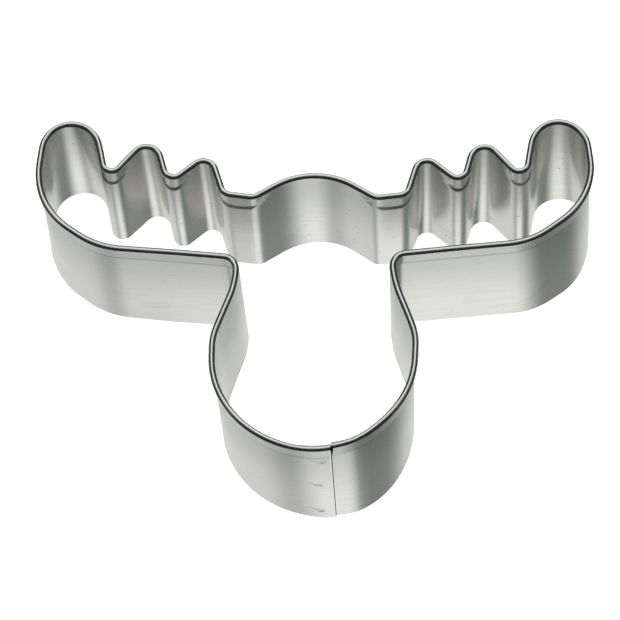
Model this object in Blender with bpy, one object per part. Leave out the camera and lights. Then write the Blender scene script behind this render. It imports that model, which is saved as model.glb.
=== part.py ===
# Moose-head cookie cutter: a steel strip bent on edge, its top edge folded over, its ends lapped and spot welded.
# Metres, +Z up. The cutter stands on its cutting edge, with the muzzle towards -Y and the antlers towards +Y.
# The plan is drawn from the muzzle's front (y = 0) backwards, and an empty moves it to the middle of the floor.

import math

import bmesh
import bpy
from mathutils import Matrix, Vector

# Strip
SHEET = 0.0003
STRIP_HEIGHT = 0.022
WALL_DRAW_IN = 0.0003

# Folded rim
FOLD_GAP = 0.0003
HEM_DEPTH = 0.0026
HEM_CLEARANCE = 0.00008

# Lap of the two strip ends at the front of the muzzle
SEAM_FROM_MIDDLE = 0.0026
SEAM_GAP = 0.0002
LAP_LENGTH = 0.0042
LAP_CLEARANCE = 0.00008
JOGGLE_LENGTH = 0.0035
TONGUE_BELOW_HEM = 0.0004

# Spot welds through the lap
WELD_DIAMETER = 0.0014
WELD_CLEARANCE = 0.0001
WELD_SETBACK = 0.0018
WELD_EDGE_DISTANCE = 0.0021
WELD_DIMPLE = 0.00006
WELD_NAMES = ("weld_spot_lower", "weld_spot_middle", "weld_spot_upper")

# Plan: where the straight runs of the wall's inner face would meet, and the bend radius there
MUZZLE_RADIUS = 0.0132

CHEEK_Y = 0.0159
CHEEK_RADIUS = 0.0074

THROAT_X = 0.01005
THROAT_Y = 0.0236
THROAT_RADIUS = 0.0120

NECK_X = 0.0098
NECK_Y = 0.0275
NECK_RADIUS = 0.0020

BROW_X = 0.0288
BROW_Y = 0.0292
BROW_RADIUS = 0.0105

ANTLER_SIDE_X = 0.0372
ANTLER_SIDE_Y = 0.0355
ANTLER_SIDE_RADIUS = 0.0102

LOBE_OUTER_X = 0.0359
LOBE_OUTER_Y = 0.0471
LOBE_OUTER_RADIUS = 0.0039

LOBE_INNER_X = 0.0296
LOBE_INNER_Y = 0.0466
LOBE_INNER_RADIUS = 0.0036

OUTER_VALLEY_X = 0.0281
OUTER_VALLEY_Y = 0.0380
OUTER_VALLEY_RADIUS = 0.0014

OUTER_TINE_X = 0.0217
OUTER_TINE_Y = 0.0452
OUTER_TINE_RADIUS = 0.0018

INNER_VALLEY_X = 0.0198
INNER_VALLEY_Y = 0.0377
INNER_VALLEY_RADIUS = 0.0014

INNER_TINE_X = 0.0143
INNER_TINE_Y = 0.0423
INNER_TINE_RADIUS = 0.0015

CROWN_FOOT_X = 0.0124
CROWN_FOOT_Y = 0.0364
CROWN_FOOT_RADIUS = 0.0016

CROWN_SIDE_X = 0.0081
CROWN_SIDE_Y = 0.0359
CROWN_SIDE_RADIUS = 0.0020

CROWN_TOP_Y = 0.0408
CROWN_TOP_RADIUS = 0.0100

# Fineness of the round stretches
TIGHT_STEP = math.radians(15)
WIDE_STEP = math.radians(7.5)
WIDE_RADIUS = 0.005
OUTER_FOLD_STEPS = 6
INNER_FOLD_STEPS = 3
WELD_SIDES = 20

FOLD_RADIUS = SHEET + FOLD_GAP / 2
LAP_DIP = SHEET + LAP_CLEARANCE
SEAM_ANGLE = SEAM_FROM_MIDDLE / MUZZLE_RADIUS
TONGUE_TOP = STRIP_HEIGHT - HEM_DEPTH - TONGUE_BELOW_HEM

STEEL = (0.62, 0.62, 0.60, 1.0)
WELD_STEEL = (0.52, 0.52, 0.51, 1.0)


def clear_scene():
    for thing in list(bpy.data.objects):
        bpy.data.objects.remove(thing, do_unlink=True)


def new_collection(name):
    collection = bpy.data.collections.new(name)
    bpy.context.scene.collection.children.link(collection)
    return collection


def metal(name, colour, roughness):
    material = bpy.data.materials.new(name)
    material.use_nodes = True
    shader = material.node_tree.nodes["Principled BSDF"]
    shader.inputs["Base Color"].default_value = colour
    shader.inputs["Metallic"].default_value = 1.0
    shader.inputs["Roughness"].default_value = roughness
    return material


def drawn_in(height):
    """How far the wall has leaned inwards at this height."""
    return WALL_DRAW_IN * height / (STRIP_HEIGHT - FOLD_RADIUS)


def turned(centre, radius, start, turn, steps):
    """Points along an arc, both ends included."""
    angles = [start + turn * i / steps for i in range(steps + 1)]
    return [centre + radius * Vector((math.cos(angle), math.sin(angle))) for angle in angles]


def arc_steps(radius, turn):
    step = WIDE_STEP if radius > WIDE_RADIUS else TIGHT_STEP
    return max(1, math.ceil(abs(turn) / step))


def tangent_length(before, corner, after, radius):
    """Distance from the corner to where an arc of this radius starts."""
    turn = (corner - before).angle(after - corner)
    return radius * math.tan(turn / 2)


def rounded(corners):
    """A polyline through (x, y, radius) corners, with an arc at each inner corner."""
    points = [Vector((x, y)) for x, y, radius in corners]
    last = len(points) - 1
    tangents = [0.0] * len(points)
    for i in range(1, last):
        tangents[i] = tangent_length(points[i - 1], points[i], points[i + 1], corners[i][2])
    # Two bends that share a short run split it between them
    for i in range(last):
        run = (points[i + 1] - points[i]).length
        wanted = tangents[i] + tangents[i + 1]
        if wanted > run:
            tangents[i] *= run / wanted
            tangents[i + 1] *= run / wanted
    line = [points[0]]
    for i in range(1, last):
        line += bend(points[i - 1], points[i], points[i + 1], tangents[i])
    line.append(points[last])
    return line


def bend(before, corner, after, tangent):
    incoming = (corner - before).normalized()
    outgoing = (after - corner).normalized()
    turn = incoming.angle_signed(outgoing) * -1
    radius = tangent / math.tan(abs(turn) / 2)
    side = Vector((-incoming.y, incoming.x)) * math.copysign(1, turn)
    start = corner - incoming * tangent
    centre = start + side * radius
    spoke = start - centre
    return turned(centre, radius, math.atan2(spoke.y, spoke.x), turn, arc_steps(radius, turn))


def right_corners():
    return [
        (MUZZLE_RADIUS, CHEEK_Y, CHEEK_RADIUS),
        (THROAT_X, THROAT_Y, THROAT_RADIUS),
        (NECK_X, NECK_Y, NECK_RADIUS),
        (BROW_X, BROW_Y, BROW_RADIUS),
        (ANTLER_SIDE_X, ANTLER_SIDE_Y, ANTLER_SIDE_RADIUS),
        (LOBE_OUTER_X, LOBE_OUTER_Y, LOBE_OUTER_RADIUS),
        (LOBE_INNER_X, LOBE_INNER_Y, LOBE_INNER_RADIUS),
        (OUTER_VALLEY_X, OUTER_VALLEY_Y, OUTER_VALLEY_RADIUS),
        (OUTER_TINE_X, OUTER_TINE_Y, OUTER_TINE_RADIUS),
        (INNER_VALLEY_X, INNER_VALLEY_Y, INNER_VALLEY_RADIUS),
        (INNER_TINE_X, INNER_TINE_Y, INNER_TINE_RADIUS),
        (CROWN_FOOT_X, CROWN_FOOT_Y, CROWN_FOOT_RADIUS),
        (CROWN_SIDE_X, CROWN_SIDE_Y, CROWN_SIDE_RADIUS),
    ]


def head_outline():
    """From the muzzle's widest point on the right, over the antlers and crown, to its widest on the left."""
    right = right_corners()
    left = [(-x, y, radius) for x, y, radius in reversed(right)]
    start = [(MUZZLE_RADIUS, MUZZLE_RADIUS, 0.0)]
    end = [(-MUZZLE_RADIUS, MUZZLE_RADIUS, 0.0)]
    crown = [(0.0, CROWN_TOP_Y, CROWN_TOP_RADIUS)]
    return rounded(start + right + crown + left + end)


def muzzle_point(angle, radius):
    """A point of the muzzle, by its angle from the front, to the right."""
    return Vector((radius * math.sin(angle), MUZZLE_RADIUS - radius * math.cos(angle)))


def muzzle_right():
    """From the seam to the widest point. The strip dips inwards by the lap beside the seam."""
    joggle = JOGGLE_LENGTH / MUZZLE_RADIUS
    count = math.ceil(joggle / (WIDE_STEP / 3))
    points = []
    for i in range(count):
        share = i / count
        ease = share * share * (3 - 2 * share)
        radius = MUZZLE_RADIUS - LAP_DIP * (1 - ease)
        points.append(muzzle_point(SEAM_ANGLE + SEAM_GAP / MUZZLE_RADIUS + joggle * share, radius))
    start = SEAM_ANGLE + SEAM_GAP / MUZZLE_RADIUS + joggle
    count = math.ceil((math.pi / 2 - start) / WIDE_STEP)
    for i in range(count):
        points.append(muzzle_point(start + (math.pi / 2 - start) * i / count, MUZZLE_RADIUS))
    return points


def muzzle_left():
    """From the widest point to the seam."""
    start = -math.pi / 2
    count = math.ceil((SEAM_ANGLE - start) / WIDE_STEP)
    return [muzzle_point(start + (SEAM_ANGLE - start) * i / count, MUZZLE_RADIUS) for i in range(1, count + 1)]


def strip_path():
    return muzzle_right() + head_outline() + muzzle_left()


def strip_profile():
    """The strip's section as (distance outwards, height): the wall, the fold over the top and the hem's leg."""
    centre = Vector((FOLD_RADIUS - WALL_DRAW_IN, STRIP_HEIGHT - FOLD_RADIUS))
    leg_end = STRIP_HEIGHT - HEM_DEPTH
    leg_inside = SHEET - drawn_in(leg_end) + HEM_CLEARANCE
    section = [Vector((0, 0)), Vector((SHEET, 0))]
    section += turned(centre, FOLD_GAP / 2, math.pi, -math.pi, INNER_FOLD_STEPS)
    section += [Vector((leg_inside, leg_end)), Vector((leg_inside + SHEET, leg_end))]
    section += turned(centre, FOLD_RADIUS, 0, math.pi, OUTER_FOLD_STEPS)
    return section


def poly_curve(name, points, dimensions, closed):
    curve = bpy.data.curves.new(name, "CURVE")
    curve.dimensions = dimensions
    curve.twist_mode = "Z_UP"
    spline = curve.splines.new("POLY")
    spline.points.add(len(points) - 1)
    for target, point in zip(spline.points, points):
        target.co = (point.x, point.y, 0.0, 1.0)
    spline.use_cyclic_u = closed
    return curve


def swept_strip(collection, guides):
    """The whole strip, made by sweeping its section along its path."""
    section = poly_curve("strip_section", strip_profile(), "2D", True)
    guide = bpy.data.objects.new("strip_section", section)
    guides.objects.link(guide)
    path = poly_curve("strip_path", strip_path(), "3D", False)
    path.bevel_mode = "OBJECT"
    path.bevel_object = guide
    path.use_fill_caps = True
    sweep = bpy.data.objects.new("strip_sweep", path)
    collection.objects.link(sweep)
    bpy.context.view_layer.update()
    evaluated = sweep.evaluated_get(bpy.context.evaluated_depsgraph_get())
    mesh = bpy.data.meshes.new_from_object(evaluated)
    mesh.name = "cutter_strip"
    bpy.data.objects.remove(sweep)
    bpy.data.objects.remove(guide)
    return mesh


def add_tongue(mesh):
    """Draws the wall's right-hand end out past the seam, below the hem, to lie inside the left-hand end."""
    shape = bmesh.new()
    shape.from_mesh(mesh)
    bmesh.ops.remove_doubles(shape, verts=shape.verts, dist=0.000001)
    bmesh.ops.recalc_face_normals(shape, faces=shape.faces)
    everything = shape.verts[:] + shape.edges[:] + shape.faces[:]
    bmesh.ops.bisect_plane(
        shape, geom=everything, dist=0.000001, plane_co=(0, 0, TONGUE_TOP), plane_no=(0, 0, 1)
    )
    seam = SEAM_ANGLE + SEAM_GAP / MUZZLE_RADIUS
    along = Vector((math.cos(seam), math.sin(seam), 0))
    start = muzzle_point(seam, MUZZLE_RADIUS - LAP_DIP).to_3d()
    end_faces = [
        face for face in shape.faces
        if face.normal.dot(along) < -0.99
        and abs((face.calc_center_median() - start).dot(along)) < SEAM_GAP / 2
        and (face.calc_center_median() - start).xy.length < FOLD_RADIUS * 2
        and face.calc_center_median().z < TONGUE_TOP
    ]
    steps = math.ceil((LAP_LENGTH + SEAM_GAP) / MUZZLE_RADIUS / WIDE_STEP)
    bmesh.ops.spin(
        shape, geom=end_faces, cent=(0, MUZZLE_RADIUS, 0), axis=(0, 0, 1), steps=steps,
        angle=-(LAP_LENGTH + SEAM_GAP) / MUZZLE_RADIUS, use_duplicate=False,
    )
    bmesh.ops.delete(shape, geom=[face for face in end_faces if face.is_valid], context="FACES")
    bmesh.ops.recalc_face_normals(shape, faces=shape.faces)
    shape.to_mesh(mesh)
    shape.free()


def weld_heights():
    """Evenly spaced from near the cutting edge to near the tongue's top."""
    top = TONGUE_TOP - WELD_EDGE_DISTANCE
    spaces = len(WELD_NAMES) - 1
    return [WELD_EDGE_DISTANCE + (top - WELD_EDGE_DISTANCE) * i / spaces for i in range(spaces + 1)]


def weld_cylinder(name, height, radius, inner, outer):
    """A cylinder across the lap, between two distances outwards from the wall's inner face."""
    angle = SEAM_ANGLE - WELD_SETBACK / MUZZLE_RADIUS
    middle = muzzle_point(angle, MUZZLE_RADIUS + (inner + outer) / 2 - drawn_in(height))
    shape = bmesh.new()
    bmesh.ops.create_cone(
        shape, cap_ends=True, segments=WELD_SIDES, radius1=radius, radius2=radius, depth=outer - inner
    )
    mesh = bpy.data.meshes.new(name)
    shape.to_mesh(mesh)
    shape.free()
    cylinder = bpy.data.objects.new(name, mesh)
    cylinder.matrix_world = (
        Matrix.Translation((middle.x, middle.y, height))
        @ Matrix.Rotation(angle, 4, "Z")
        @ Matrix.Rotation(math.pi / 2, 4, "X")
    )
    return cylinder


def smooth(mesh):
    mesh.shade_smooth()
    mesh.set_sharp_from_angle(angle=math.radians(35))


def build():
    clear_scene()
    parts = new_collection("moose_cookie_cutter")
    cutters = new_collection("cutters")
    origin = bpy.data.objects.new("middle_of_the_floor", None)
    parts.objects.link(origin)

    mesh = swept_strip(parts, cutters)
    add_tongue(mesh)
    strip = bpy.data.objects.new("cutter_strip", mesh)
    mesh.materials.append(metal("satin_steel", STEEL, 0.3))
    parts.objects.link(strip)
    strip.parent = origin

    weld_steel = metal("weld_steel", WELD_STEEL, 0.4)
    for name, height in zip(WELD_NAMES, weld_heights()):
        reach = SHEET + LAP_DIP
        hole = weld_cylinder(name + "_hole", height, WELD_DIAMETER / 2 + WELD_CLEARANCE, -reach, reach)
        hole.display_type = "WIRE"
        hole.hide_render = True
        cutters.objects.link(hole)
        hole.parent = origin
        cut = strip.modifiers.new(name + "_hole", "BOOLEAN")
        cut.operation = "DIFFERENCE"
        cut.object = hole
        spot = weld_cylinder(name, height, WELD_DIAMETER / 2, WELD_DIMPLE - LAP_DIP, SHEET - WELD_DIMPLE)
        spot.data.materials.append(weld_steel)
        smooth(spot.data)
        parts.objects.link(spot)
        spot.parent = origin
    smooth(mesh)

    plan = [point.y for point in strip_path()]
    origin.location.y = -(min(plan) + max(plan)) / 2
    bpy.context.view_layer.update()


build()
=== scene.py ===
import math

import bmesh
import bpy
from mathutils import Matrix, Vector, noise


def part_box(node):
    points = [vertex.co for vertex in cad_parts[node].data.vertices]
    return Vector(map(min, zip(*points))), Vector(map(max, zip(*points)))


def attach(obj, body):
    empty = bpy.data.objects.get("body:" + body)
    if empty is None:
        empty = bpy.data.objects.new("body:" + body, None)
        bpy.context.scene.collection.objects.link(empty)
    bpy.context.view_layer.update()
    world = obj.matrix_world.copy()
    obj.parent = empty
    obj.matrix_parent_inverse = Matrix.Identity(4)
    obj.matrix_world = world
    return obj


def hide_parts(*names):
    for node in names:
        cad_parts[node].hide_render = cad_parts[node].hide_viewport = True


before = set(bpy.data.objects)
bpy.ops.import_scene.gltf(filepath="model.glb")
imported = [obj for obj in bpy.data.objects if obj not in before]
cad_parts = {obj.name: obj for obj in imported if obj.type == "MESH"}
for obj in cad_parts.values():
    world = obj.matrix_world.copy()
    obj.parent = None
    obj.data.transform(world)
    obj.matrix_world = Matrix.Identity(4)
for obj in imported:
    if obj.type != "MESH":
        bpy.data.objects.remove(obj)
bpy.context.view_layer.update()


mm = 1000       # the leans and the materials count in millimetres


# Small tools

def ease(share):
    share = min(max(share, 0.0), 1.0)
    return share * share * (3 - 2 * share)


def bump(distance, reach):          # 1 in the middle, falling smoothly to 0 at reach
    return 1 - ease(abs(distance) / reach)


def blend(low, high, share):
    return low + (high - low) * ease(share)


def turnAbout(centre, angle):
    about = Matrix.Translation((centre.x, centre.y, 0))
    return about @ Matrix.Rotation(angle, 4, "Z") @ about.inverted()


def newObject(name, data):
    made = bpy.data.objects.new(name, data)
    bpy.context.scene.collection.objects.link(made)
    return made


def newPiece(name, bm):
    mesh = bpy.data.meshes.new(name)
    bm.to_mesh(mesh)
    bm.free()
    mesh.shade_smooth()
    return newObject(name, mesh)


# The cutter strip: its plan

headPlan = {
    "muzzleRadius": 0.0132,
    "seamFromMiddle": 0.00242,      # the strip's left-hand end, to the right of the muzzle's middle
    "seamGap": 0.0002,
    "corners": [                    # name, x, y from the muzzle's front, bend radius
        ("cheek", 0.0132, 0.0159, 0.0074),
        ("throat", 0.01005, 0.0236, 0.012),
        ("neck", 0.0098, 0.0275, 0.002),
        ("brow", 0.0288, 0.0292, 0.0105),
        ("antlerSide", 0.0372, 0.0355, 0.0102),
        ("lobeOuter", 0.0359, 0.0471, 0.0039),
        ("lobeInner", 0.0296, 0.0466, 0.0036),
        ("outerValley", 0.0281, 0.038, 0.0014),
        ("outerTine", 0.0217, 0.0452, 0.0018),
        ("innerValley", 0.0198, 0.0377, 0.0014),
        ("innerTine", 0.0143, 0.0423, 0.0015),
        ("crownFoot", 0.0124, 0.0364, 0.0016),
        ("crownSide", 0.0081, 0.0359, 0.002),
    ],
    "crown": (0.0408, 0.01),        # y of its peak's corner, bend radius
    "shortest": 1e-7,               # a run between two bends that meet has no length
    "stepLength": 0.0008,           # longest step along the plan, and widest turn
    "stepTurn": math.radians(8),
    "fineStep": 0.0003,             # beside the seam
    "fineLength": 0.0054,           # how far the fine steps go on each side of it
}

stripShape = {
    "sheet": 0.0003,
    "drawIn": 0.0003,               # how far the wall leans in at the rim
    "plainRows": 24,                # rows of faces in the lower wall
    "pressedRows": 20,              # and in the upper wall, which the folding marks
    "pressedDepth": 0.0046,
    # degrees turned, radius and steps of each arc, from the wall over the top and down to the hem
    "fold": [(33, 0.00003, 3), (27, 0.00064, 4), (60, 0.00015, 4), (27, 0.00064, 4), (33, 0.00003, 3)],
    "foldReach": 0.0006,            # how far the rim stands out past the wall's foot
    "hemDepth": 0.0026,
    "hemRows": 6,
    "hemClearance": 0.00008,
    "lapLength": 0.0042,            # of the tongue, the hidden end behind the seam
    "lapClearance": 0.00002,
    "joggleLength": 0.0035,
    "tongueTop": 0.0212,            # distance up the section
    "rimDip": 0.00017,              # the joggle's step at the rim
    "edgeRound": 0.00004,
    "edgeSteps": 2,
    "sharpFrom": math.radians(60),
}


def cornerList():
    right = headPlan["corners"]
    left = [(name + "Left", -x, y, radius) for name, x, y, radius in reversed(right)]
    side = headPlan["muzzleRadius"]
    start = [("muzzleRight", side, side, 0.0)]
    end = [("muzzleLeft", -side, side, 0.0)]
    crown = [("crown", 0.0, headPlan["crown"][0], headPlan["crown"][1])]
    return start + right + crown + left + end


def headMoves(forward):
    # Every bend and straight run from the seam round to the seam: its name and kind, its centre or
    # its way, its turn and its radius
    corners = cornerList()
    points = [Vector((x, y + forward, 0)) for _, x, y, _ in corners]
    last = len(points) - 1
    tangents = [0.0] * len(points)
    for i in range(1, last):
        turn = (points[i] - points[i - 1]).angle(points[i + 1] - points[i])
        tangents[i] = corners[i][3] * math.tan(turn / 2)
    for i in range(last):           # two bends that share a short run split it
        run = (points[i + 1] - points[i]).length
        wanted = tangents[i] + tangents[i + 1]
        if wanted > run:
            tangents[i] *= run / wanted
            tangents[i + 1] *= run / wanted
    radius = headPlan["muzzleRadius"]
    centre = Vector((0, radius + forward, 0))
    seam = headPlan["seamFromMiddle"] / radius
    gap = headPlan["seamGap"] / radius
    fine = headPlan["fineLength"] / radius
    moves = [("joggle", "bend", centre, fine, radius)]
    moves.append(("muzzle", "bend", centre, math.pi / 2 - seam - gap - fine, radius))
    here = points[0]
    for i in range(1, last):
        before = (points[i] - points[i - 1]).normalized()
        after = (points[i + 1] - points[i]).normalized()
        turn = before.to_2d().angle_signed(after.to_2d()) * -1
        bendRadius = tangents[i] / math.tan(abs(turn) / 2)
        side = Vector((-before.y, before.x, 0)) * math.copysign(1, turn)
        start = points[i] - before * tangents[i]
        moves.append((corners[i][0] + "Run", "run", start - here, 0, 0))
        moves.append((corners[i][0], "bend", start + side * bendRadius, turn, bendRadius))
        here = points[i] + after * tangents[i]
    moves.append(("cheekLeftEnd", "run", points[last] - here, 0, 0))
    moves.append(("muzzleLeft", "bend", centre, math.pi / 2 + seam - fine, radius))
    moves.append(("lap", "bend", centre, fine, radius))
    return moves


# The cutter strip: its section, a line up the wall, over the fold and down the hem

def climb(bm, vert, move):
    grown = bmesh.ops.extrude_vert_indiv(bm, verts=[vert])["verts"]
    bmesh.ops.transform(bm, matrix=move, verts=grown)
    return grown[0]


def wallTopUnder(height):           # where the fold has to start for the rim to reach this height
    risen = 0.0
    heading = 0.0
    for turn, radius, _ in stripShape["fold"][:2]:
        risen += radius * (math.sin(heading + math.radians(turn)) - math.sin(heading))
        heading += math.radians(turn)
    risen += stripShape["fold"][2][1] * (1 - math.sin(heading))
    return height - stripShape["sheet"] / 2 - risen


def drawSection(bm, height):
    half = stripShape["sheet"] / 2
    wallTop = wallTopUnder(height)
    vert = bmesh.ops.create_vert(bm, co=(0, -half, 0))["vert"][0]
    depths = [(wallTop - stripShape["pressedDepth"], stripShape["plainRows"])]
    depths.append((stripShape["pressedDepth"], stripShape["pressedRows"]))
    for depth, rows in depths:
        lean = stripShape["drawIn"] * depth / wallTop
        for _ in range(rows):
            vert = climb(bm, vert, Matrix.Translation((0, lean / rows, depth / rows)))
    heading = 0.0
    for turn, radius, steps in stripShape["fold"]:
        inwards = Vector((0, -math.cos(heading), -math.sin(heading)))
        centre = Matrix.Translation(vert.co + inwards * radius)
        for _ in range(steps):
            step = Matrix.Rotation(math.radians(turn) / steps, 4, "X")
            vert = climb(bm, vert, centre @ step @ centre.inverted())
        heading += math.radians(turn)
    hemEnd = height - stripShape["hemDepth"]
    wallThere = stripShape["drawIn"] * hemEnd / wallTop
    outwards = -vert.co.y
    target = half + stripShape["sheet"] + stripShape["hemClearance"] - wallThere
    drop = Vector((0, outwards - target, hemEnd - vert.co.z)) / stripShape["hemRows"]
    for _ in range(stripShape["hemRows"]):
        vert = climb(bm, vert, Matrix.Translation(drop))


def layAcross(bm, layer):           # distance from the cutting edge, over the section
    vert = min(bm.verts, key=lambda v: v.co.z)
    seen = set()
    travelled = 0.0
    while vert:
        vert[layer] = travelled
        seen.add(vert)
        following = [e.other_vert(vert) for e in vert.link_edges if e.other_vert(vert) not in seen]
        if not following:
            return travelled
        travelled += (following[0].co - vert.co).length
        vert = following[0]


# The cutter strip: the section drawn out along the plan

def drawOut(bm, edges, move, travelled, outwards):
    grown = bmesh.ops.extrude_edge_only(bm, edges=edges)["geom"]
    verts = {part for part in grown if isinstance(part, bmesh.types.BMVert)}
    bmesh.ops.transform(bm, matrix=move, verts=list(verts))
    along = bm.verts.layers.float["along"]
    facing = bm.verts.layers.float_vector["facing"]
    for vert in verts:
        vert[along] = travelled
        vert[facing] = outwards
    return [
        part for part in grown
        if isinstance(part, bmesh.types.BMEdge) and part.verts[0] in verts and part.verts[1] in verts
    ]


def sweepStrip(forward, height):
    bm = bmesh.new()
    across = bm.verts.layers.float.new("across")
    bm.verts.layers.float.new("along")
    # per vertex: how much painted shade the crease's line gets
    bm.verts.layers.float.new("creaseShade")
    facing = bm.verts.layers.float_vector.new("facing")
    drawSection(bm, height)
    width = layAcross(bm, across)
    radius = headPlan["muzzleRadius"]
    centre = Vector((0, radius + forward, 0))
    seam = (headPlan["seamFromMiddle"] + headPlan["seamGap"]) / radius
    placing = turnAbout(centre, seam) @ Matrix.Translation((0, forward, 0))
    bmesh.ops.transform(bm, matrix=placing, verts=bm.verts[:])
    firstOutwards = Matrix.Rotation(seam, 3, "Z") @ Vector((0, -1, 0))
    for vert in bm.verts:
        vert[facing] = firstOutwards
    firstEdges = bm.edges[:]
    edges = firstEdges
    outwards = firstOutwards.copy()
    travelled = 0.0
    marks = {}
    for name, kind, where, turn, bendRadius in headMoves(forward):
        length = where.length if kind == "run" else abs(turn) * bendRadius
        marks[name] = (travelled, length)
        if length < headPlan["shortest"]:
            continue
        fine = name in ("joggle", "lap")
        stepLength = headPlan["fineStep"] if fine else headPlan["stepLength"]
        steps = math.ceil(max(length / stepLength, abs(turn) / headPlan["stepTurn"]))
        move = Matrix.Translation(where / steps) if kind == "run" else turnAbout(where, turn / steps)
        for _ in range(steps):
            travelled += length / steps
            outwards = Matrix.Rotation(turn / steps, 3, "Z") @ outwards
            edges = drawOut(bm, edges, move, travelled, outwards)
    marks["length"] = travelled
    marks["width"] = width
    tongueEdges = [
        e for e in firstEdges if all(v[across] < stripShape["tongueTop"] for v in e.verts)
    ]
    tongueLength = stripShape["lapLength"] + headPlan["seamGap"]
    steps = math.ceil(tongueLength / headPlan["fineStep"])
    stepTurn = -tongueLength / radius / steps
    outwards = firstOutwards.copy()
    for i in range(steps):
        outwards = Matrix.Rotation(stepTurn, 3, "Z") @ outwards
        travelled = -tongueLength * (i + 1) / steps
        tongueEdges = drawOut(bm, tongueEdges, turnAbout(centre, stepTurn), travelled, outwards)
    bmesh.ops.recalc_face_normals(bm, faces=bm.faces[:])
    lowest = min(bm.faces, key=lambda f: f.calc_center_median().z)
    if lowest.normal.dot(lowest.verts[0][facing]) < 0:
        bmesh.ops.reverse_faces(bm, faces=bm.faces[:])
    return bm, marks


print("scene: strip")
cadLow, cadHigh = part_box("cutter_strip")
height = cadHigh.z
forward = cadLow.y + stripShape["foldReach"]
stripBm, marks = sweepStrip(forward, height)
alongLayer = stripBm.verts.layers.float["along"]
acrossLayer = stripBm.verts.layers.float["across"]
creaseShadeLayer = stripBm.verts.layers.float["creaseShade"]
facingLayer = stripBm.verts.layers.float_vector["facing"]
muzzleCentre = Vector((0, headPlan["muzzleRadius"] + forward, 0))
foldStart = wallTopUnder(height)
foldEnd = foldStart + sum(math.radians(turn) * radius for turn, radius, _ in stripShape["fold"])


# How the bent strip strays from its plan, in mm

# bend or run, share of its length, shift of the foot to the right and back, shift of the rim
leans = [
    ("joggle", 0, (-0.05, -1.0), (-0.03, 0.05)),
    ("joggle", 1.0, (-0.3, -1.1), (-0.1, 0.18)),
    ("muzzle", 0.18, (-0.3, -1.03), (-0.18, 0.22)),
    ("muzzle", 0.6, (-0.5, -0.75), (0.03, 0.08)),
    ("cheek", 0.3, (-0.7, -0.35), (0.16, 0)),
    ("cheek", 0.9, (-0.6, -0.2), (0.42, 0)),
    ("throat", 0.1, (-0.4, -0.1), (0.56, 0)),
    ("throat", 0.6, (-0.25, 0), (0.56, 0)),
    ("neck", 0.5, (-0.4, 0), (0.26, 0.39)),
    ("browRun", 0.5, (0, 0.05), (0, 0.46)),
    ("brow", 0.5, (0.1, -0.05), (0, 0.5)),
    ("antlerSideRun", 0.5, (-0.1, -0.12), (-0.03, 0.56)),
    ("antlerSide", 0.25, (-0.2, -0.42), (-0.05, 0.42)),
    ("antlerSide", 0.5, (-0.4, -0.3), (-0.06, 0.22)),
    ("antlerSide", 1.0, (-0.57, -0.3), (0.05, 0)),
    ("lobeOuter", 0.5, (-0.55, -0.85), (-0.13, -0.1)),
    ("lobeInnerRun", 0.5, (-0.5, -1.4), (-0.05, 0.12)),
    ("outerValleyRun", 0.5, (-0.15, -1.0), (-0.15, 0.05)),
    ("outerValley", 0.5, (-0.3, -1.1), (0, -0.05)),
    ("outerTine", 0.5, (-0.5, -1.05), (0, 0)),
    ("innerValley", 0.5, (-0.5, -0.7), (0, 0)),
    ("innerTine", 0.5, (-0.5, -0.55), (-0.12, 0.1)),
    ("crownFoot", 0.5, (-0.6, 0), (0, 0)),
    ("crownSide", 0.5, (-0.5, 0), (0, 0)),
    ("crown", 0.5, (0, 0.33), (0, 0.07)),
    ("crownSideLeft", 0.5, (0, 0.15), (0, 0.2)),
    ("crownFootLeft", 0.5, (0.1, 0.25), (0.1, 0.3)),
    ("innerTineLeft", 0.5, (0.2, 0.1), (0.12, 0.25)),
    ("innerValleyLeft", 0.5, (0.3, 0.1), (0.1, 0.4)),
    ("outerTineLeft", 0.5, (0.4, 0.1), (0, 0.4)),
    ("outerValleyLeftRun", 0.5, (0.3, 0.2), (-0.03, 0.48)),
    ("outerValleyLeft", 0.5, (0.15, 0.35), (0.12, 0.4)),
    ("lobeInnerLeftRun", 0.5, (0.12, 0.32), (0.12, 0.32)),
    ("lobeInnerLeft", 0.5, (0.1, 0.3), (-0.1, 0.22)),
    ("lobeOuterLeft", 0.5, (0, 0), (-0.1, 0.25)),
    ("antlerSideLeft", 0.5, (0.05, -0.1), (-0.22, -0.05)),
    ("browLeftRun", 0.5, (0.05, -0.2), (-0.03, -0.05)),
    ("browLeft", 0.5, (0.05, -0.2), (0, 0.1)),
    ("neckLeftRun", 0.5, (0, -0.45), (0, 0.15)),
    ("neckLeft", 0.5, (0.2, -0.3), (-0.3, 0.12)),
    ("throatLeft", 0.1, (0.35, -0.1), (-0.34, 0)),
    ("throatLeft", 0.6, (0.5, 0), (-0.24, 0)),
    ("cheekLeft", 0.1, (0.88, 0), (-0.1, 0)),
    ("cheekLeft", 0.6, (1.08, 0), (0, 0)),
    ("muzzleLeft", 0.16, (0.3, 0), (-0.09, 0)),
    ("muzzleLeft", 0.55, (0.25, -0.18), (0.03, 0.1)),
    ("muzzleLeft", 0.86, (0.25, -0.3), (0.08, 0.18)),
    ("lap", 0.15, (0.2, -0.42), (0.03, 0.1)),
    ("lap", 0.55, (0.05, -0.66), (0, 0.05)),
    ("lap", 1.0, (-0.05, -1.0), (-0.03, 0.05)),
]

hand = {                            # what bending and pressing by hand leave behind
    "leanReach": 0.002,             # the leans are averaged this far to each side
    "leanSteps": 4,
    "wave": 0.00003,
    "waveLength": 0.011,
    "stillBesideSeam": 0.008,
    "hemWave": 0.00005,
    "hemWaveLength": 0.0045,
}

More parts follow.
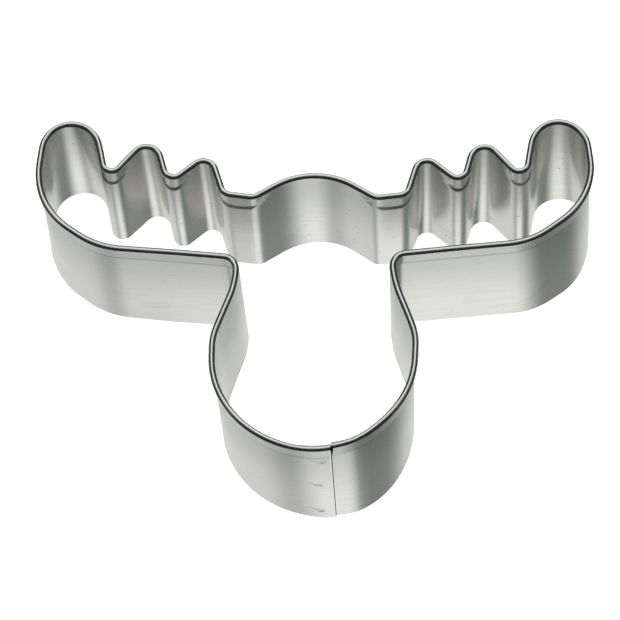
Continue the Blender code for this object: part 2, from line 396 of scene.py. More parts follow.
creases = {                         # the folding tool's marks on the inside, smile-shaped, under the rim
    "depth": 0.0038,
    "push": 0.0002,
    "edge": 0.0003,
    "fade": 0.0007,                 # from the rim down to the full push
    "lineShadeReach": 0.0004,           # painted shade, either side of the line
    "lineShadeEnds": 0.45,              # no painted shade where the line has risen to this share of its depth
    "places": [                     # from which bend to which, and how much of the push
        ("outerValley", "outerValley", 0.7),
        ("innerValley", "innerValley", 1.0),
        ("crownFoot", "crownSide", 0.9),
        ("crownSideLeft", "crownFootLeft", 0.9),
        ("innerValleyLeft", "innerValleyLeft", 1.0),
        ("outerValleyLeft", "outerValleyLeft", 0.9),
    ],
    "pastBend": 0.001,              # how far a crease reaches past its bends
}

seamMarks = {
    "leftCut": 0.00007,             # how far the hem's ends are cut back at the seam, at their top
    "rightCut": 0.00014,
    "cutReach": 0.0016,
    "dentDepth": 0.00005,           # of each weld, which has a shallow trail to its left
    "dentRadius": 0.0005,
    "trailLength": 0.0028,
    "trailStart": 0.05,             # its share that lies past the weld's middle
    "trailWidth": 0.00036,
    "trailDepth": 0.00002,
    "trailRise": 0.4,
    "markWidth": 0.0001,            # the heat mark's, at its far end
    "markNose": 0.0004,             # and how far it runs past the weld's middle
    "shifts": {                     # along the strip and upwards, from the middle of the CAD's spot
        "weld_spot_upper": (0.0004, 0.0001),
        "weld_spot_middle": (-0.0003, 0.0005),
        "weld_spot_lower": (-0.0003, 0.0),
    },
    "fineBeside": 0.003,            # the finer mesh round a dent
    "fineAbove": 0.001,
    "fineCuts": 3,
    "ringReach": 1.6,               # dent radii, from 1 on: the ring that a weld takes its direction from
}


def leanTable():
    table = []
    for name, share, foot, rim in leans:
        start, length = marks[name]
        table.append((start + length * share, Vector((*foot, 0)) / mm, Vector((*rim, 0)) / mm))
    return table


def leanBetween(table, along):
    along = min(max(along, 0.0), marks["length"])
    for (low, lowFoot, lowRim), (high, highFoot, highRim) in zip(table, table[1:]):
        if along <= high:
            share = (along - low) / (high - low)
            return lowFoot.lerp(highFoot, share), lowRim.lerp(highRim, share)
    return table[-1][1:]


def leanAt(table, along):           # shift of the foot and of the rim, averaged so that it changes smoothly
    steps = hand["leanSteps"]
    reach = hand["leanReach"]
    around = [leanBetween(table, along + reach * step / steps) for step in range(-steps, steps + 1)]
    foot = sum((pair[0] for pair in around), Vector()) / len(around)
    rim = sum((pair[1] for pair in around), Vector()) / len(around)
    return foot, rim


def weldSeats():                    # name, distance along the strip and height of each spot weld
    seats = []
    for name in ("weld_spot_upper", "weld_spot_middle", "weld_spot_lower"):
        low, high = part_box(name)
        middle = (low + high) / 2
        outwards = (middle - muzzleCentre).xy
        fromMiddle = math.atan2(outwards.x, -outwards.y) * headPlan["muzzleRadius"]
        fromEnd = headPlan["seamFromMiddle"] - fromMiddle
        beside, above = seamMarks["shifts"][name]
        seats.append((name, marks["length"] - fromEnd + beside, middle.z + above))
    return seats


def refineDents(bm, seats):
    for _, seatAlong, seatHeight in seats:
        edges = []
        for edge in bm.edges:
            ends = [(besideSeam(v[alongLayer]), v.co.z, v[acrossLayer]) for v in edge.verts]
            near = [
                abs(along - seatAlong) < seamMarks["fineBeside"]
                and abs(z - seatHeight) < seamMarks["fineAbove"]
                and across < foldStart
                for along, z, across in ends
            ]
            if all(near):
                edges.append(edge)
        bmesh.ops.subdivide_edges(bm, edges=edges, cuts=seamMarks["fineCuts"], use_grid_fill=True)


def besideSeam(along):              # the tongue lies behind the strip's other end and is shaped with it
    return marks["length"] + along if along < 0 else along


def dentAt(along, z, seats):
    depth = 0.0
    halfTrail = seamMarks["trailLength"] / 2
    for _, seatAlong, seatHeight in seats:
        beside = along - seatAlong
        above = z - seatHeight
        if abs(above) > seamMarks["fineAbove"]:
            continue
        depth += seamMarks["dentDepth"] * bump(math.hypot(beside, above), seamMarks["dentRadius"])
        trail = beside + halfTrail - seamMarks["trailLength"] * seamMarks["trailStart"]
        drift = above + seamMarks["trailRise"] * beside
        streak = bump(trail, halfTrail) * bump(drift, seamMarks["trailWidth"])
        depth += seamMarks["trailDepth"] * streak
    return depth


def creaseAt(along, z):             # how far the crease pushes the wall, and how much painted shade its line gets
    fall = height - z
    push = 0.0
    lineShade = 0.0
    for first, last, strength in creases["places"]:
        start = marks[first][0] - creases["pastBend"]
        end = sum(marks[last]) + creases["pastBend"]
        share = (along - (start + end) / 2) / (end - start) * 2
        if abs(share) < 1:
            line = creases["depth"] * math.sqrt(1 - share * share)
            inside = (line - fall) / creases["edge"]
            push += creases["push"] * strength * ease(inside) * ease(fall / creases["fade"])
            middle = line - creases["edge"] / 2
            level = (line / creases["depth"] - creases["lineShadeEnds"]) / (1 - creases["lineShadeEnds"])
            lineShade = max(lineShade, strength * ease(level) * bump(fall - middle, creases["lineShadeReach"]))
    return push, lineShade


def dipAt(along, across):           # the joggle: the right-hand end dips under the left-hand one
    full = stripShape["sheet"] + stripShape["lapClearance"]
    over = (across - stripShape["tongueTop"]) / (foldStart - stripShape["tongueTop"]) / 2
    return blend(full, stripShape["rimDip"], over) * (1 - ease(along / stripShape["joggleLength"]))


def cutAt(fromEnd, across, deepest):    # the hem's ends leave a wedge open at the seam
    crest = (foldStart + foldEnd) / 2
    share = 1 - (across - foldEnd) / (marks["width"] - foldEnd)
    cut = deepest * min(share, 1)
    return cut * ease((across - crest) / (foldEnd - crest)) * bump(fromEnd, seamMarks["cutReach"])


def shapeStrip(bm, seats):
    table = leanTable()
    length = marks["length"]
    columns = {}
    for vert in bm.verts:
        along = besideSeam(vert[alongLayer])
        across = vert[acrossLayer]
        z = vert.co.z
        outwards = vert[facingLayer].copy()
        still = ease(min(along, length - along) / hand["stillBesideSeam"])
        waveSpot = Vector((along, min(z, foldStart), 0)) / hand["waveLength"]
        push = noise.noise(waveSpot) * hand["wave"] * still
        if across < foldStart:
            crease, vert[creaseShadeLayer] = creaseAt(along, z)
            push += crease - dentAt(along, z, seats)
        if vert[alongLayer] < stripShape["joggleLength"]:
            push -= dipAt(vert[alongLayer], across)
        hem = (across - foldStart) / (marks["width"] - foldStart)
        if hem > 0:
            edgeSpot = Vector((along / hand["hemWaveLength"], 0, 0))
            vert.co.z += noise.noise(edgeSpot) * hand["hemWave"] * ease(hem)
            turn = 0.0
            if along < seamMarks["cutReach"]:
                turn = cutAt(along, across, seamMarks["rightCut"])
            elif length - along < seamMarks["cutReach"]:
                turn = -cutAt(length - along, across, seamMarks["leftCut"])
            vert.co = turnAbout(muzzleCentre, turn / headPlan["muzzleRadius"]) @ vert.co
        if along not in columns:
            columns[along] = leanAt(table, along)
        foot, rim = columns[along]
        vert.co += outwards * push + foot.lerp(rim, z / height)


seats = weldSeats()
refineDents(stripBm, seats)
shapeStrip(stripBm, seats)

# The place on the sheet, for the materials: up the section from the cutting edge and along the strip, in mm
grain = stripBm.loops.layers.uv.new("grain")
for face in stripBm.faces:
    for loop in face.loops:
        loop[grain].uv = (loop.vert[acrossLayer] * mm, loop.vert[alongLayer] * mm)


def seatOn(bm, seatAlong, seatHeight):      # where a weld sits on the shaped strip, and which way it faces
    bm.normal_update()
    offset = stripShape["sheet"] / 2

    def away(vert):
        return math.hypot(vert[alongLayer] - seatAlong, vert[acrossLayer] - seatHeight)

    nearest = min(bm.verts, key=away)
    ring = [v for v in bm.verts if 1 < away(v) / seamMarks["dentRadius"] < seamMarks["ringReach"]]
    facing = sum((v.normal for v in ring), Vector()).normalized()
    middle = sum((v.co for v in ring), Vector()) / len(ring)
    return nearest.co + facing * ((middle - nearest.co).dot(facing) + offset), facing


seatPlaces = [(name, *seatOn(stripBm, along, z)) for name, along, z in seats]

strip = newPiece("cutterStrip", stripBm)
wall = strip.modifiers.new("sheet", "SOLIDIFY")
wall.thickness = stripShape["sheet"]
wall.offset = 0.0
wall.use_even_offset = True
rounding = strip.modifiers.new("edges", "BEVEL")
rounding.width = stripShape["edgeRound"]
rounding.segments = stripShape["edgeSteps"]
rounding.limit_method = "ANGLE"
rounding.angle_limit = stripShape["sharpFrom"]
rounding.harden_normals = True


# The spot welds

print("scene: welds")
weldShape = {
    "steps": 32,
    "radius": 0.00052,
    "proud": 0.000012,              # above the strip's dented face, which curves away under it
    "edge": 0.00008,
    "rings": 9,
    "merge": 1e-6,
}


def weldProfile():                  # distance from the middle and depth, from the outer face to the inner one
    throughLap = 2 * stripShape["sheet"] + stripShape["lapClearance"]
    rings = [weldShape["radius"] * i / weldShape["rings"] for i in range(weldShape["rings"] + 1)]
    dents = [(r, -seamMarks["dentDepth"] * bump(r, seamMarks["dentRadius"])) for r in rings]
    outside = [(r, dent + weldShape["proud"]) for r, dent in dents]
    inside = [(r, dent - throughLap - weldShape["proud"]) for r, dent in dents]
    sunk = [
        (weldShape["radius"], outside[-1][1] - weldShape["edge"]),
        (weldShape["radius"], inside[-1][1] + weldShape["edge"]),
    ]
    return outside + sunk + inside[::-1]


def spinWeld(place, facing):
    bm = bmesh.new()
    fromMiddle = bm.verts.layers.float.new("fromMiddle")
    profile = weldProfile()
    r, depth = profile[0]
    vert = bmesh.ops.create_vert(bm, co=(r, 0, depth))["vert"][0]
    for nextR, nextDepth in profile[1:]:
        vert = climb(bm, vert, Matrix.Translation((nextR - r, 0, nextDepth - depth)))
        r, depth = nextR, nextDepth
    bmesh.ops.spin(
        bm, geom=bm.verts[:] + bm.edges[:], cent=(0, 0, 0), axis=(0, 0, 1), angle=math.tau,
        steps=weldShape["steps"], use_merge=True,
    )
    bmesh.ops.remove_doubles(bm, verts=bm.verts[:], dist=weldShape["merge"])
    bmesh.ops.recalc_face_normals(bm, faces=bm.faces[:])
    for vert in bm.verts:
        vert[fromMiddle] = vert.co.xy.length * mm
    turn = facing.to_track_quat("Z", "Y").to_matrix().to_4x4()
    bmesh.ops.transform(bm, matrix=Matrix.Translation(place) @ turn, verts=bm.verts[:])
    return bm


weldSpots = []
for nodeName, place, facing in seatPlaces:
    spot = newPiece("weldSpot" + nodeName.split("_")[-1].capitalize(), spinWeld(place, facing))
    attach(spot, "root")
    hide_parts(nodeName)
    weldSpots.append(spot)


# Node tools

def addNode(tree, kind, inputs, **settings):
    node = tree.nodes.new(kind)
    for name, value in settings.items():
        setattr(node, name, value)
    sockets = {socket.identifier: socket for socket in node.inputs}
    for name, value in inputs.items():
        socket = sockets[name] if name in sockets else node.inputs[name]
        if isinstance(value, bpy.types.NodeSocket):
            tree.links.new(value, socket)
        else:
            socket.default_value = value
    return node


def math2(tree, operation, *values):
    return addNode(tree, "ShaderNodeMath", dict(enumerate(values)), operation=operation).outputs[0]


def times(tree, value, factor):
    return math2(tree, "MULTIPLY", value, factor)


def minus(tree, value, less):
    return math2(tree, "SUBTRACT", value, less)


def opposite(tree, value):          # 1 for 0, 0 for 1
    return minus(tree, 1.0, value)


def fade(tree, value, low, high):   # 0 below low, 1 above high
    inputs = {"Value": value, "From Min": low, "From Max": high}
    return addNode(tree, "ShaderNodeMapRange", inputs, interpolation_type="SMOOTHSTEP").outputs[0]


def spread(tree, value, low, high):     # 0 to 1 becomes low to high
    inputs = {"Value": value, "To Min": low, "To Max": high}
    return addNode(tree, "ShaderNodeMapRange", inputs).outputs[0]


def sidesOf(tree, vector):
    return addNode(tree, "ShaderNodeSeparateXYZ", {0: vector}).outputs


def mixColour(tree, share, first, second, mode="MIX"):
    inputs = {"Factor_Float": share, "A_Color": first, "B_Color": second}
    node = addNode(tree, "ShaderNodeMix", inputs, data_type="RGBA", blend_type=mode)
    return next(socket for socket in node.outputs if socket.identifier == "Result_Color")


def makeNoise(tree, vector, scale, detail, **more):
    inputs = {"Vector": vector, "Scale": scale, "Detail": detail} | more
    return addNode(tree, "ShaderNodeTexNoise", inputs).outputs[0]


def rotate(tree, vector, angle, axis):
    inputs = {"Vector": vector, "Angle": angle}
    return addNode(tree, "ShaderNodeVectorRotate", inputs, rotation_type=axis).outputs[0]


def newGroup(name, inputs, outputs):    # an input without a number is a vector
    tree = bpy.data.node_groups.new(name, "ShaderNodeTree")
    for label, value in inputs.items():
        kind = "NodeSocketVector" if value is None else "NodeSocketFloat"
        socket = tree.interface.new_socket(label, in_out="INPUT", socket_type=kind)
        if value is not None:
            socket.default_value = value
    for label in outputs:
        tree.interface.new_socket(label, in_out="OUTPUT", socket_type="NodeSocketFloat")
    return tree, tree.nodes.new("NodeGroupInput").outputs, tree.nodes.new("NodeGroupOutput").inputs


def useGroup(tree, group, inputs):
    return addNode(tree, "ShaderNodeGroup", inputs, node_tree=group).outputs


# Effects that the strip's steel and the welds' steel share

effects = {                         # what every use of an effect has in common
    "broadGrain": 0.22,             # scale of the broad lines against the fine ones
    "grainFrom": 0.35,
    "grainTo": 0.65,
    "marksLevel": 0.72,             # of the cloud, where a mark starts if Amount is 0
    "marksGain": 0.3,               # and how much lower if Amount is 1
    "marksFade": 0.35,
    "scratchStretch": 9.0,          # length against width
    "scratchScale": 1.6,
    "scratchCore": 0.2,             # share of the width that is full
    "patchScale": 0.16,
    "patchFrom": 0.5,
    "patchTo": 0.6,
    "noPit": 0.45,                  # share of cells without one
    "pitFade": 0.03,
}


def makeRolledGrain():              # fine lines that the rolling mill left along the sheet
    inputs = {"Surface": None, "Fineness": 9.0, "Stretch": 0.06}
    tree, given, result = newGroup("rolledGrain", inputs, ["Line", "Height"])
    sides = sidesOf(tree, given["Surface"])
    u = times(tree, sides["X"], given["Fineness"])
    v = times(tree, times(tree, sides["Y"], given["Fineness"]), given["Stretch"])
    spot = addNode(tree, "ShaderNodeCombineXYZ", {0: u, 1: v}).outputs[0]
    fine = makeNoise(tree, spot, 1.0, 4.0)
    broad = makeNoise(tree, spot, effects["broadGrain"], 2.0)
    tree.links.new(fade(tree, broad, effects["grainFrom"], effects["grainTo"]), result["Line"])
    tree.links.new(fine, result["Height"])
    return tree


def makeSoftMarks():                # handling marks with soft edges, more of them with a larger Amount
    inputs = {"Place": None, "Size": 0.008, "Amount": 0.5}
    tree, given, result = newGroup("softMarks", inputs, ["Mask"])
    scale = math2(tree, "DIVIDE", 1.0, given["Size"])
    cloud = makeNoise(tree, given["Place"], scale, 1.5, Distortion=0.6)
    gain = times(tree, given["Amount"], effects["marksGain"])
    low = minus(tree, effects["marksLevel"], gain)
    mask = fade(tree, minus(tree, cloud, low), 0.0, effects["marksFade"])
    tree.links.new(mask, result["Mask"])
    return tree


def makeScratches():                # hairlines that run roughly one way, in patches
    inputs = {"Surface": None, "Angle": 0.3, "Spacing": 2.0, "Width": 0.02, "Seed": 0.0}
    tree, given, result = newGroup("scratches", inputs, ["Mask"])
    turned = rotate(tree, given["Surface"], given["Angle"], "Z_AXIS")
    sides = sidesOf(tree, turned)
    u = math2(tree, "DIVIDE", sides["X"], given["Spacing"])
    long = math2(tree, "DIVIDE", sides["Y"], given["Spacing"])
    v = math2(tree, "DIVIDE", long, effects["scratchStretch"])
    spot = addNode(tree, "ShaderNodeCombineXYZ", {0: u, 1: v, 2: given["Seed"]}).outputs[0]
    lines = makeNoise(tree, spot, effects["scratchScale"], 1.0)
    off = math2(tree, "ABSOLUTE", minus(tree, lines, 0.5))
    aside = math2(tree, "DIVIDE", off, given["Width"])
    line = opposite(tree, fade(tree, aside, effects["scratchCore"], 1.0))
    patch = makeNoise(tree, given["Surface"], effects["patchScale"], 1.0)
    patch = fade(tree, patch, effects["patchFrom"], effects["patchTo"])
    tree.links.new(times(tree, line, patch), result["Mask"])
    return tree


def makePits():                     # small dark specks pressed into the sheet
    inputs = {"Surface": None, "Spacing": 1.6, "Size": 0.09}
    tree, given, result = newGroup("pits", inputs, ["Mask"])
    scale = math2(tree, "DIVIDE", 1.0, given["Spacing"])
    inputs = {"Vector": given["Surface"], "Scale": scale}
    cells = addNode(tree, "ShaderNodeTexVoronoi", inputs, voronoi_dimensions="2D").outputs
    chance = addNode(tree, "ShaderNodeSeparateColor", {0: cells["Color"]}).outputs
    size = times(tree, given["Size"], fade(tree, chance["Red"], effects["noPit"], 1.0))
    away = times(tree, cells["Distance"], given["Spacing"])
    inside = minus(tree, size, away)
    tree.links.new(fade(tree, inside, 0.0, effects["pitFade"]), result["Mask"])
    return tree


rolledGrain = makeRolledGrain()
softMarks = makeSoftMarks()
scratches = makeScratches()
pits = makePits()


# Steel

print("scene: steel")
steelLook = {
    "bright": (0.68, 0.67, 0.63, 1),
    "dull": (0.58, 0.58, 0.555, 1),
    "dark": (0.25, 0.26, 0.25, 1),
    # painted shade: the wall is made darker towards the rim
    "paintedUpperShade": (0.4, 0.405, 0.38, 1),
    "fold": (0.45, 0.45, 0.44, 1),
    # painted highlight for the sheared end's bright line
    "paintedHighlight": (0.8, 0.79, 0.76, 1),
    "heated": (0.28, 0.28, 0.25, 1),
    # near-black painted shade: in the seam and the notch, below the hem's edge and along the creases
    "paintedShade": (0.008, 0.009, 0.008, 1),
    "layers": [                     # mask, its strength and its colour, from the lowest up
        ("broadMarks", 0.2, "dull"),
        ("smallMarks", 0.15, "dull"),
        ("grain", 0.24, "dull"),
        ("acrossLines", 0.12, "dark"),
        ("alongLines", 0.12, "dark"),
        ("pits", 0.45, "dark"),
        # painted shade on the upper wall, darker towards the rim
        ("upperWallShade", 0.8, "paintedUpperShade"),
        # painted shadow below the hem's edge
        ("hemShade", 0.4, "paintedShade"),
        # painted shade along the creases' lines on the inside faces
        ("creaseShade", 0.6, "paintedShade"),
        # painted highlight along the sheared end
        ("endHighlight", 1.0, "paintedHighlight"),
        ("fold", 1.0, "fold"),
        ("edge", 0.5, "bright"),
        ("heatMarks", 0.8, "heated"),
        # painted shade in the seam and the notch
        ("seamShade", 1.0, "paintedShade"),
    ],
    "broadMarks": {"Size": 0.014, "Amount": 0.8},
    "smallMarks": {"Size": 0.006, "Amount": 0.6},
    "acrossLines": {"Angle": 0.5, "Seed": 3.0},
    "alongLines": {"Angle": 0.06, "Spacing": 1.1, "Seed": 8.0},
    "pits": {"Spacing": 1.5, "Size": 0.14},
    "pitsOutside": 0.3,             # share of them on the faces that look out
    # the upper wall's painted shade grows between the next two heights
    "paintedUpperShadeFrom": 4.0,             # lengths in mm; up from the cutting edge
    "paintedUpperShadeTo": 21.0,
    "hemLineFrom": 1.4,             # below the hem's edge, a faint line of painted shadow
    "hemLineTo": 0.8,
    "foldAround": 0.15,             # the fold's colour starts this far before it
    "foldInside": 0.05,             # and is full this far inside
    "edge": 0.35,                   # width of the bright line along the cutting edge
    "endHighlightWidth": 0.16,              # painted highlight along the sheared end beside the seam
    "paintedShadeReach": 0.26,              # the part of the tongue that gets painted shade in the seam
    "notchShadeReach": 0.5,
    "cutFace": 0.02,
    "anisotropy": 0.8,
    "wallRoughness": 0.26,
    "foldRoughness": 0.2,
    "paintedShadeRoughness": 0.9,
    "marksRoughen": 0.03,
    "pitsRoughen": 0.1,
    "grainDepth": 0.0000025,
    "pitDepth": 2.0,                # against the grain's
    "scratchDepth": 0.6,
}


def newSteel(name, anisotropy):
    material = bpy.data.materials.new(name)
    material.use_nodes = True
    shader = material.node_tree.nodes["Principled BSDF"]
    shader.inputs["Metallic"].default_value = 1.0
    shader.inputs["Anisotropic"].default_value = anisotropy
    return material, material.node_tree, shader.inputs


def raiseRelief(tree, shader, relief):
    bumps = addNode(tree, "ShaderNodeBump", {"Height": relief, "Distance": steelLook["grainDepth"]})
    tree.links.new(bumps.outputs["Normal"], shader["Normal"])


def outsideMask(tree):              # 1 on the faces that look out of the cutter
    outwards = addNode(tree, "ShaderNodeAttribute", {}, attribute_name="facing").outputs["Vector"]
    normal = addNode(tree, "ShaderNodeNewGeometry", {}).outputs["True Normal"]
    side = addNode(tree, "ShaderNodeVectorMath", {0: outwards, 1: normal}, operation="DOT_PRODUCT")
    return math2(tree, "GREATER_THAN", side.outputs["Value"], 0.5)


def fromEnds(tree, along):          # distance to the nearer end of the strip, in mm
    return math2(tree, "MINIMUM", along, minus(tree, marks["length"] * mm, along))


def foldMask(tree, across):
    start = foldStart * mm
    end = foldEnd * mm
    around = steelLook["foldAround"]
    inside = steelLook["foldInside"]
    begun = fade(tree, across, start - around, start + inside)
    return times(tree, begun, opposite(tree, fade(tree, across, end - inside, end + around)))


def hemShadeMask(tree, across):     # painted shadow under the hem and just below it
    hemLow = (height - stripShape["hemDepth"]) * mm
    begun = fade(tree, across, hemLow - steelLook["hemLineFrom"], hemLow - steelLook["hemLineTo"])
    return times(tree, begun, math2(tree, "LESS_THAN", across, foldStart * mm))


def seamShadeMask(tree, across, along):      # painted shade in the seam: on the tongue, and behind the hem's ends
    onTongue = math2(tree, "LESS_THAN", along, 0.0)
    inSeam = times(tree, onTongue, math2(tree, "GREATER_THAN", along, -steelLook["paintedShadeReach"]))
    nearEnd = math2(tree, "LESS_THAN", fromEnds(tree, along), steelLook["notchShadeReach"])
    aboveHemEdge = math2(tree, "GREATER_THAN", across, (height - stripShape["hemDepth"]) * mm)
    underHem = times(tree, aboveHemEdge, math2(tree, "LESS_THAN", across, foldStart * mm))
    return math2(tree, "MAXIMUM", inSeam, times(tree, nearEnd, underHem))


def cutEndMask(tree, across, along):        # the cut ends of the hem, with painted shade in the notch
    away = math2(tree, "ABSOLUTE", fromEnds(tree, along))
    atEnd = math2(tree, "LESS_THAN", away, steelLook["cutFace"])
    return times(tree, atEnd, math2(tree, "GREATER_THAN", across, foldEnd * mm))


def endHighlightMask(tree, across, along):          # painted highlight along the strip's left-hand end, fading downwards
    width = steelLook["endHighlightWidth"]
    fromEnd = minus(tree, marks["length"] * mm, along)
    near = opposite(tree, fade(tree, fromEnd, width / 2, width))
    return times(tree, near, fade(tree, across, 0.0, height * mm))


def heatMarkMask(tree, across, along):      # trails off to the left of each weld, narrower and higher
    strongest = 0.0
    for _, seatAlong, seatHeight in seats:
        beside = minus(tree, along, seatAlong * mm)
        above = minus(tree, across, seatHeight * mm)
        drift = math2(tree, "ADD", above, times(tree, beside, seamMarks["trailRise"]))
        grown = fade(tree, beside, -seamMarks["trailLength"] * mm, 0.0)
        ended = opposite(tree, fade(tree, beside, 0.0, seamMarks["markNose"] * mm))
        halfWidth = spread(tree, grown, seamMarks["markWidth"] * mm, seamMarks["trailWidth"] * mm)
        aside = math2(tree, "DIVIDE", math2(tree, "ABSOLUTE", drift), halfWidth)
        narrow = opposite(tree, fade(tree, aside, 0.0, 1.0))
        mark = times(tree, narrow, times(tree, grown, ended))
        strongest = math2(tree, "MAXIMUM", strongest, mark)
    return strongest


def stripMasks(tree, surface, place, grainLine):
    across, along, _ = sidesOf(tree, surface)
    outside = outsideMask(tree)
    lineShade = addNode(tree, "ShaderNodeAttribute", {}, attribute_name="creaseShade").outputs["Fac"]
    seamShade = times(tree, seamShadeMask(tree, across, along), outside)
    masks = {
        "grain": grainLine,
        # painted shade: the upper wall darker towards the rim
        "upperWallShade": fade(tree, across, steelLook["paintedUpperShadeFrom"], steelLook["paintedUpperShadeTo"]),
        # painted shadow below the hem's edge, on the outer faces
        "hemShade": times(tree, hemShadeMask(tree, across), outside),
        "creaseShade": times(tree, lineShade, opposite(tree, outside)),
        "endHighlight": endHighlightMask(tree, across, along),
        "fold": foldMask(tree, across),
        "edge": opposite(tree, fade(tree, across, 0.0, steelLook["edge"])),
        "heatMarks": times(tree, heatMarkMask(tree, across, along), outside),
        "seamShade": math2(tree, "MAXIMUM", seamShade, cutEndMask(tree, across, along)),
    }
    for name in ("broadMarks", "smallMarks"):
        masks[name] = useGroup(tree, softMarks, {"Place": place} | steelLook[name])["Mask"]
    for name, group in (("acrossLines", scratches), ("alongLines", scratches), ("pits", pits)):
        masks[name] = useGroup(tree, group, {"Surface": surface} | steelLook[name])["Mask"]
    masks["pits"] = times(tree, masks["pits"], spread(tree, outside, 1.0, steelLook["pitsOutside"]))
    return masks


def makeStripSteel():
    material, tree, shader = newSteel("rolledSteel", steelLook["anisotropy"])
    surface = addNode(tree, "ShaderNodeUVMap", {}, uv_map="grain").outputs[0]
    place = addNode(tree, "ShaderNodeTexCoord", {}).outputs["Object"]
    grainOut = useGroup(tree, rolledGrain, {"Surface": surface})
    masks = stripMasks(tree, surface, place, grainOut["Line"])

    colour = steelLook["bright"]
    for name, amount, tone in steelLook["layers"]:
        share = times(tree, masks[name], amount)
        colour = mixColour(tree, share, colour, steelLook[tone])
    tree.links.new(colour, shader["Base Color"])

    roughness = spread(tree, masks["fold"], steelLook["wallRoughness"], steelLook["foldRoughness"])
    for name, amount in (("smallMarks", "marksRoughen"), ("pits", "pitsRoughen")):
        rougher = times(tree, masks[name], steelLook[amount])
        roughness = math2(tree, "ADD", roughness, rougher)
    # the seam's painted shade is also rough and not metallic
    paintedShadeRough = times(tree, masks["seamShade"], steelLook["paintedShadeRoughness"])
    tree.links.new(math2(tree, "MAXIMUM", roughness, paintedShadeRough), shader["Roughness"])
    tree.links.new(opposite(tree, masks["seamShade"]), shader["Metallic"])

    relief = grainOut["Height"]
    for name, depth in (("pits", "pitDepth"), ("alongLines", "scratchDepth")):
        sunk = times(tree, masks[name], steelLook[depth])
        relief = minus(tree, relief, sunk)
    raiseRelief(tree, shader, relief)
    tangent = addNode(tree, "ShaderNodeTangent", {}, direction_type="UV_MAP", uv_map="grain")
    tree.links.new(tangent.outputs["Tangent"], shader["Tangent"])
    return material


weldLook = {
    "middle": (0.22, 0.22, 0.2, 1),
    "ring": (0.54, 0.535, 0.505, 1),
    "ringFrom": 0.14,               # mm from the middle
    "ringTo": 0.4,
    "grain": {"Fineness": 14.0, "Stretch": 0.7},
    "marks": {"Size": 0.0004, "Amount": 0.7},
    "pits": {"Spacing": 0.22, "Size": 0.04},
    "marksShare": 0.4,
    "pitsShare": 0.5,
    "roughness": 0.38,
    "marksRoughen": 0.12,
}


def makeWeldSteel():
    material, tree, shader = newSteel("weldSteel", 0.0)
    place = addNode(tree, "ShaderNodeTexCoord", {}).outputs["Object"]
    away = addNode(tree, "ShaderNodeAttribute", {}, attribute_name="fromMiddle").outputs["Fac"]
    small = addNode(tree, "ShaderNodeVectorMath", {0: place, "Scale": mm}, operation="SCALE").outputs[0]
    upright = rotate(tree, small, math.pi / 2, "X_AXIS")
    grainOut = useGroup(tree, rolledGrain, {"Surface": small} | weldLook["grain"])
    soft = useGroup(tree, softMarks, {"Place": place} | weldLook["marks"])["Mask"]
    specks = useGroup(tree, pits, {"Surface": upright} | weldLook["pits"])["Mask"]
    ring = fade(tree, away, weldLook["ringFrom"], weldLook["ringTo"])
    darker = times(tree, soft, weldLook["marksShare"])
    pitted = times(tree, specks, weldLook["pitsShare"])
    colour = mixColour(tree, ring, weldLook["middle"], weldLook["ring"])
    colour = mixColour(tree, darker, colour, weldLook["middle"])
    colour = mixColour(tree, pitted, colour, steelLook["dark"])
    tree.links.new(colour, shader["Base Color"])
    rougher = times(tree, soft, weldLook["marksRoughen"])
    tree.links.new(math2(tree, "ADD", weldLook["roughness"], rougher), shader["Roughness"])
    relief = minus(tree, grainOut["Height"], specks)
    raiseRelief(tree, shader, relief)
    return material


strip.data.materials.append(makeStripSteel())
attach(strip, "root")
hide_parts("cutter_strip")
weldSteel = makeWeldSteel()
for spot in weldSpots:
    spot.data.materials.append(weldSteel)


# Floor, light and camera

print("scene: studio")
studio = {
    "floorRadius": 3.0,
    "floorBelow": 0.00002,          # the cutting edge
    "floorColour": (0.82, 0.82, 0.82, 1),
    "floorRoughness": 0.9,
    "floorInCamera": 0.87,          # white that only the camera sees
    "room": (0.02, 0.036, 0.027, 1),
    "dimTint": (0.94, 1.04, 0.92, 1),   # where the panels' level is low
    "brightTint": (1, 1, 1, 1),
    "tintFrom": 0.2,
    "tintTo": 0.6,
    # direction to the right of the front, half its width, softness of the sides, lower and upper edge,
    # all in degrees; level
    "panels": [
        ("backdrop", 180, 35, 9, -8, 67, 1.0),
        ("overhead", 180, 105, 8, 40, 67, 1.0),
        ("zenith", 0, 200, 8, 67, 100, 1.0),
        ("belowLeft", -150, 107, 16, -110, -12, 0.66),
        ("belowFront", 3, 30, 22, -110, -12, 0.92),
        ("below", 0, 200, 12, -110, -12, 0.27),
    ],
    "edgeSoftness": 8,              # of the lower and upper edges
    # direction and height in degrees, distance, width, watts
    "lamps": [
        ("lampLeft", -75, 56, 1.0, 0.4, 3.0),
        ("lampRight", 140, 56, 1.0, 0.4, 3.0),
        ("lampAbove", 0, 90, 1.3, 1.6, 3.0),
    ],
}


def layFloor():
    bm = bmesh.new()
    bmesh.ops.create_circle(bm, cap_ends=True, segments=96, radius=studio["floorRadius"])
    bmesh.ops.translate(bm, verts=bm.verts[:], vec=(0, 0, -studio["floorBelow"]))
    floor = newPiece("floor", bm)
    paper = bpy.data.materials.new("paper")
    paper.use_nodes = True
    tree = paper.node_tree
    shader = tree.nodes["Principled BSDF"].inputs
    shader["Base Color"].default_value = studio["floorColour"]
    shader["Roughness"].default_value = studio["floorRoughness"]
    shader["Specular IOR Level"].default_value = 0.0
    shader["Emission Color"].default_value = (1, 1, 1, 1)
    ray = tree.nodes.new("ShaderNodeLightPath").outputs
    seen = math2(tree, "MAXIMUM", ray["Is Camera Ray"], ray["Is Transmission Ray"])
    tree.links.new(times(tree, seen, studio["floorInCamera"]), shader["Emission Strength"])
    floor.visible_glossy = False    # the steel mirrors the studio's own white under the floor
    floor.data.materials.append(paper)


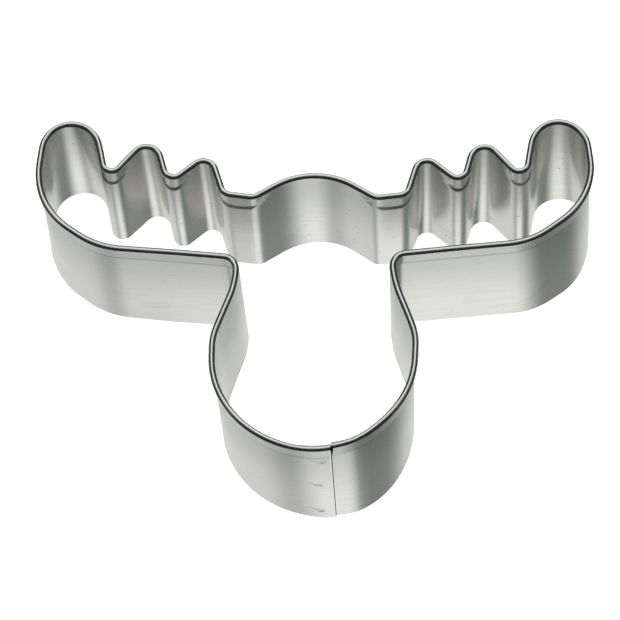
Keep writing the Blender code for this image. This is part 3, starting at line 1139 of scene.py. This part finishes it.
def lightWorld():
    world = bpy.data.worlds.new("studio")
    bpy.context.scene.world = world
    world.use_nodes = True
    tree = world.node_tree
    place = addNode(tree, "ShaderNodeTexCoord", {}).outputs["Generated"]
    sides = sidesOf(tree, place)
    elevation = math2(tree, "DEGREES", math2(tree, "ARCSINE", sides["Z"]))
    forwards = times(tree, sides["Y"], -1.0)
    azimuth = math2(tree, "DEGREES", math2(tree, "ARCTAN2", sides["X"], forwards))
    level = 0.0
    edge = studio["edgeSoftness"]
    for _, middle, halfWidth, soft, low, high, strength in studio["panels"]:
        turned = math2(tree, "WRAP", minus(tree, azimuth, middle), 180.0, -180.0)
        away = math2(tree, "ABSOLUTE", turned)
        mask = fade(tree, minus(tree, halfWidth + soft, away), 0.0, soft * 2)
        above = fade(tree, elevation, low - edge, low + edge)
        below = fade(tree, minus(tree, high + edge, elevation), 0.0, edge * 2)
        mask = times(tree, times(tree, above, below), mask)
        level = math2(tree, "ADD", times(tree, mask, strength), level)
    bright = fade(tree, level, studio["tintFrom"], studio["tintTo"])
    tint = mixColour(tree, bright, studio["dimTint"], studio["brightTint"])
    shade = mixColour(tree, 1.0, tint, level, "MULTIPLY")
    shade = mixColour(tree, 1.0, shade, studio["room"], "ADD")
    tree.links.new(shade, tree.nodes["Background"].inputs["Color"])


def lookDown(azimuth, elevation, distance):     # from this far off, towards the middle
    around = Matrix.Rotation(math.radians(azimuth), 4, "Z")
    up = Matrix.Rotation(math.radians(90 - elevation), 4, "X")
    return around @ up @ Matrix.Translation((0, 0, distance))


def hangLamps():
    for name, azimuth, elevation, distance, width, watts in studio["lamps"]:
        lamp = bpy.data.lights.new(name, "AREA")
        lamp.shape = "DISK"
        lamp.size = width
        lamp.energy = watts
        lampObject = newObject(name, lamp)
        lampObject.visible_glossy = False
        lampObject.matrix_world = lookDown(azimuth, elevation, distance)


layFloor()
lightWorld()
hangLamps()

view = {
    "azimuth": 5.6405,
    "elevation": 66.163,
    "distance": 0.94487,
    "target": (-0.0013907, 0.029309, 0.0),     # from the muzzle's front
    "roll": -5.51,
    "lens": 404.9,
    "sensorWidth": 36,
}
camera = bpy.data.cameras.new("camera")
camera.lens = view["lens"]
camera.sensor_width = view["sensorWidth"]
cameraObject = newObject("camera", camera)
target = Vector(view["target"]) + Vector((0, forward, 0))
cameraObject.matrix_world = (
    Matrix.Translation(target)
    @ lookDown(view["azimuth"], view["elevation"], view["distance"])
    @ Matrix.Rotation(math.radians(view["roll"]), 4, "Z")
)
bpy.context.scene.camera = cameraObject
bpy.context.scene.view_settings.view_transform = "Standard"
